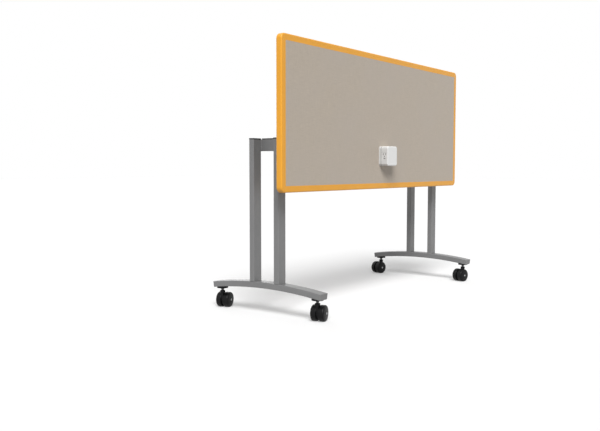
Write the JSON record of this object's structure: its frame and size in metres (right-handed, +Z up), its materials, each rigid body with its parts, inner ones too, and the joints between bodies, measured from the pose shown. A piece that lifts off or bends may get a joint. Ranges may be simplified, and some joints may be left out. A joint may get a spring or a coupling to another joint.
{
  "type": "flip top training table",
  "caption": "Training table on casters whose worktop flips up on end-frame pivots to nest; with an orange edge, a latch paddle below and a power module.",
  "frame": {"origin": "on the floor, midway between the end frames and midway along the feet", "axes": "+X along the table's length, +Y from the stowed worktop towards the front columns, +Z up; the stowed work surface faces -Y"},
  "size_m": [1.524, 0.5748, 1.1145],
  "materials": {
    "frame_paint": "satin silver-grey powder coat",
    "black_plastic": "fine satin moulding",
    "plated_steel": "zinc plated",
    "particle_board": "raw board",
    "laminate": "taupe textured laminate",
    "backing_sheet": "plain backing laminate",
    "orange_edge": "satin moulded edge",
    "white_plastic": "satin white moulding",
    "wheel_plastic": "satin black tread and discs"
  },
  "bodies": {
    "frame": {"left_foot": "frame_paint", "right_foot": "frame_paint", "foot_end_plugs": "frame_paint", "left_rear_column": "frame_paint", "left_front_column": "frame_paint", "right_rear_column": "frame_paint", "right_front_column": "frame_paint", "column_caps": "black_plastic", "left_arm": "frame_paint", "right_arm": "frame_paint", "arm_pivot_blocks": "frame_paint", "arm_end_plugs": "black_plastic", "arm_rest_pads": "black_plastic", "crossbeam": "frame_paint", "beam_end_plates": "frame_paint", "beam_bolts": "plated_steel", "beam_rivet_nuts": "plated_steel", "pivot_bushes": "black_plastic", "striker_brackets": "plated_steel", "striker_pins": "plated_steel", "caster_sockets": "black_plastic", "caster_stems": "plated_steel"},
    "worktop": {"worktop_core": "particle_board", "worktop_laminate": "laminate", "worktop_backer": "backing_sheet", "edge_band": "orange_edge", "left_hinge_bracket": "plated_steel", "right_hinge_bracket": "plated_steel", "pivot_pins": "plated_steel", "pin_clips": "plated_steel", "underside_screws": "plated_steel", "latch_bearings": "black_plastic", "power_base": "white_plastic", "power_housing": "white_plastic", "left_outlet": "white_plastic", "right_outlet": "white_plastic", "power_clamp_ring": "black_plastic", "cord_gland": "black_plastic"},
    "latch": {"latch_shaft": "plated_steel", "latch_hooks": "plated_steel", "release_paddle": "black_plastic"},
    "left_rear_caster_swivel": {"left_rear_caster_hood": "black_plastic", "left_rear_caster_axle": "plated_steel"},
    "left_rear_caster_rear_wheel": {"left_rear_caster_rear_wheel": "wheel_plastic"},
    "left_rear_caster_front_wheel": {"left_rear_caster_front_wheel": "wheel_plastic"},
    "left_front_caster_swivel": {"left_front_caster_hood": "black_plastic", "left_front_caster_axle": "plated_steel"},
    "left_front_caster_rear_wheel": {"left_front_caster_rear_wheel": "wheel_plastic"},
    "left_front_caster_front_wheel": {"left_front_caster_front_wheel": "wheel_plastic"},
    "right_rear_caster_swivel": {"right_rear_caster_hood": "black_plastic", "right_rear_caster_axle": "plated_steel"},
    "right_rear_caster_rear_wheel": {"right_rear_caster_rear_wheel": "wheel_plastic"},
    "right_rear_caster_front_wheel": {"right_rear_caster_front_wheel": "wheel_plastic"},
    "right_front_caster_swivel": {"right_front_caster_hood": "black_plastic", "right_front_caster_axle": "plated_steel"},
    "right_front_caster_rear_wheel": {"right_front_caster_rear_wheel": "wheel_plastic"},
    "right_front_caster_front_wheel": {"right_front_caster_front_wheel": "wheel_plastic"}
  },
  "joints": [
    {"name": "worktop_flip", "type": "hinge", "parent": "frame", "child": "worktop", "pos_m": [0, -0.1065, 0.703], "axis": [-1, 0, 0], "range_deg": [0, 90]},
    {"name": "latch_release", "type": "hinge", "parent": "worktop", "child": "latch", "pos_m": [0, -0.1085, 0.92], "axis": [1, 0, 0], "range_deg": [0, 16], "stiffness_Nm_per_rad": 0.4, "springref_deg": -17.19},
    {"name": "left_rear_caster_swivel", "type": "hinge", "parent": "frame", "child": "left_rear_caster_swivel", "pos_m": [-0.6625, -0.252, 0.07], "axis": [0, 0, 1], "continuous": true},
    {"name": "left_rear_caster_rear_wheel_spin", "type": "hinge", "parent": "left_rear_caster_swivel", "child": "left_rear_caster_rear_wheel", "pos_m": [-0.64318, -0.24682, 0.0325], "axis": [-0.2588, 0.9659, 0], "continuous": true},
    {"name": "left_rear_caster_front_wheel_spin", "type": "hinge", "parent": "left_rear_caster_swivel", "child": "left_rear_caster_front_wheel", "pos_m": [-0.64318, -0.24682, 0.0325], "axis": [-0.2588, 0.9659, 0], "continuous": true},
    {"name": "left_front_caster_swivel", "type": "hinge", "parent": "frame", "child": "left_front_caster_swivel", "pos_m": [-0.6625, 0.252, 0.07], "axis": [0, 0, 1], "continuous": true},
    {"name": "left_front_caster_rear_wheel_spin", "type": "hinge", "parent": "left_front_caster_swivel", "child": "left_front_caster_rear_wheel", "pos_m": [-0.64318, 0.25718, 0.0325], "axis": [-0.2588, 0.9659, 0], "continuous": true},
    {"name": "left_front_caster_front_wheel_spin", "type": "hinge", "parent": "left_front_caster_swivel", "child": "left_front_caster_front_wheel", "pos_m": [-0.64318, 0.25718, 0.0325], "axis": [-0.2588, 0.9659, 0], "continuous": true},
    {"name": "right_rear_caster_swivel", "type": "hinge", "parent": "frame", "child": "right_rear_caster_swivel", "pos_m": [0.6625, -0.252, 0.07], "axis": [0, 0, 1], "continuous": true},
    {"name": "right_rear_caster_rear_wheel_spin", "type": "hinge", "parent": "right_rear_caster_swivel", "child": "right_rear_caster_rear_wheel", "pos_m": [0.64318, -0.24682, 0.0325], "axis": [0.2588, 0.9659, 0], "continuous": true},
    {"name": "right_rear_caster_front_wheel_spin", "type": "hinge", "parent": "right_rear_caster_swivel", "child": "right_rear_caster_front_wheel", "pos_m": [0.64318, -0.24682, 0.0325], "axis": [0.2588, 0.9659, 0], "continuous": true},
    {"name": "right_front_caster_swivel", "type": "hinge", "parent": "frame", "child": "right_front_caster_swivel", "pos_m": [0.6625, 0.252, 0.07], "axis": [0, 0, 1], "continuous": true},
    {"name": "right_front_caster_rear_wheel_spin", "type": "hinge", "parent": "right_front_caster_swivel", "child": "right_front_caster_rear_wheel", "pos_m": [0.64318, 0.25718, 0.0325], "axis": [0.2588, 0.9659, 0], "continuous": true},
    {"name": "right_front_caster_front_wheel_spin", "type": "hinge", "parent": "right_front_caster_swivel", "child": "right_front_caster_front_wheel", "pos_m": [0.64318, 0.25718, 0.0325], "axis": [0.2588, 0.9659, 0], "continuous": true}
  ]
}
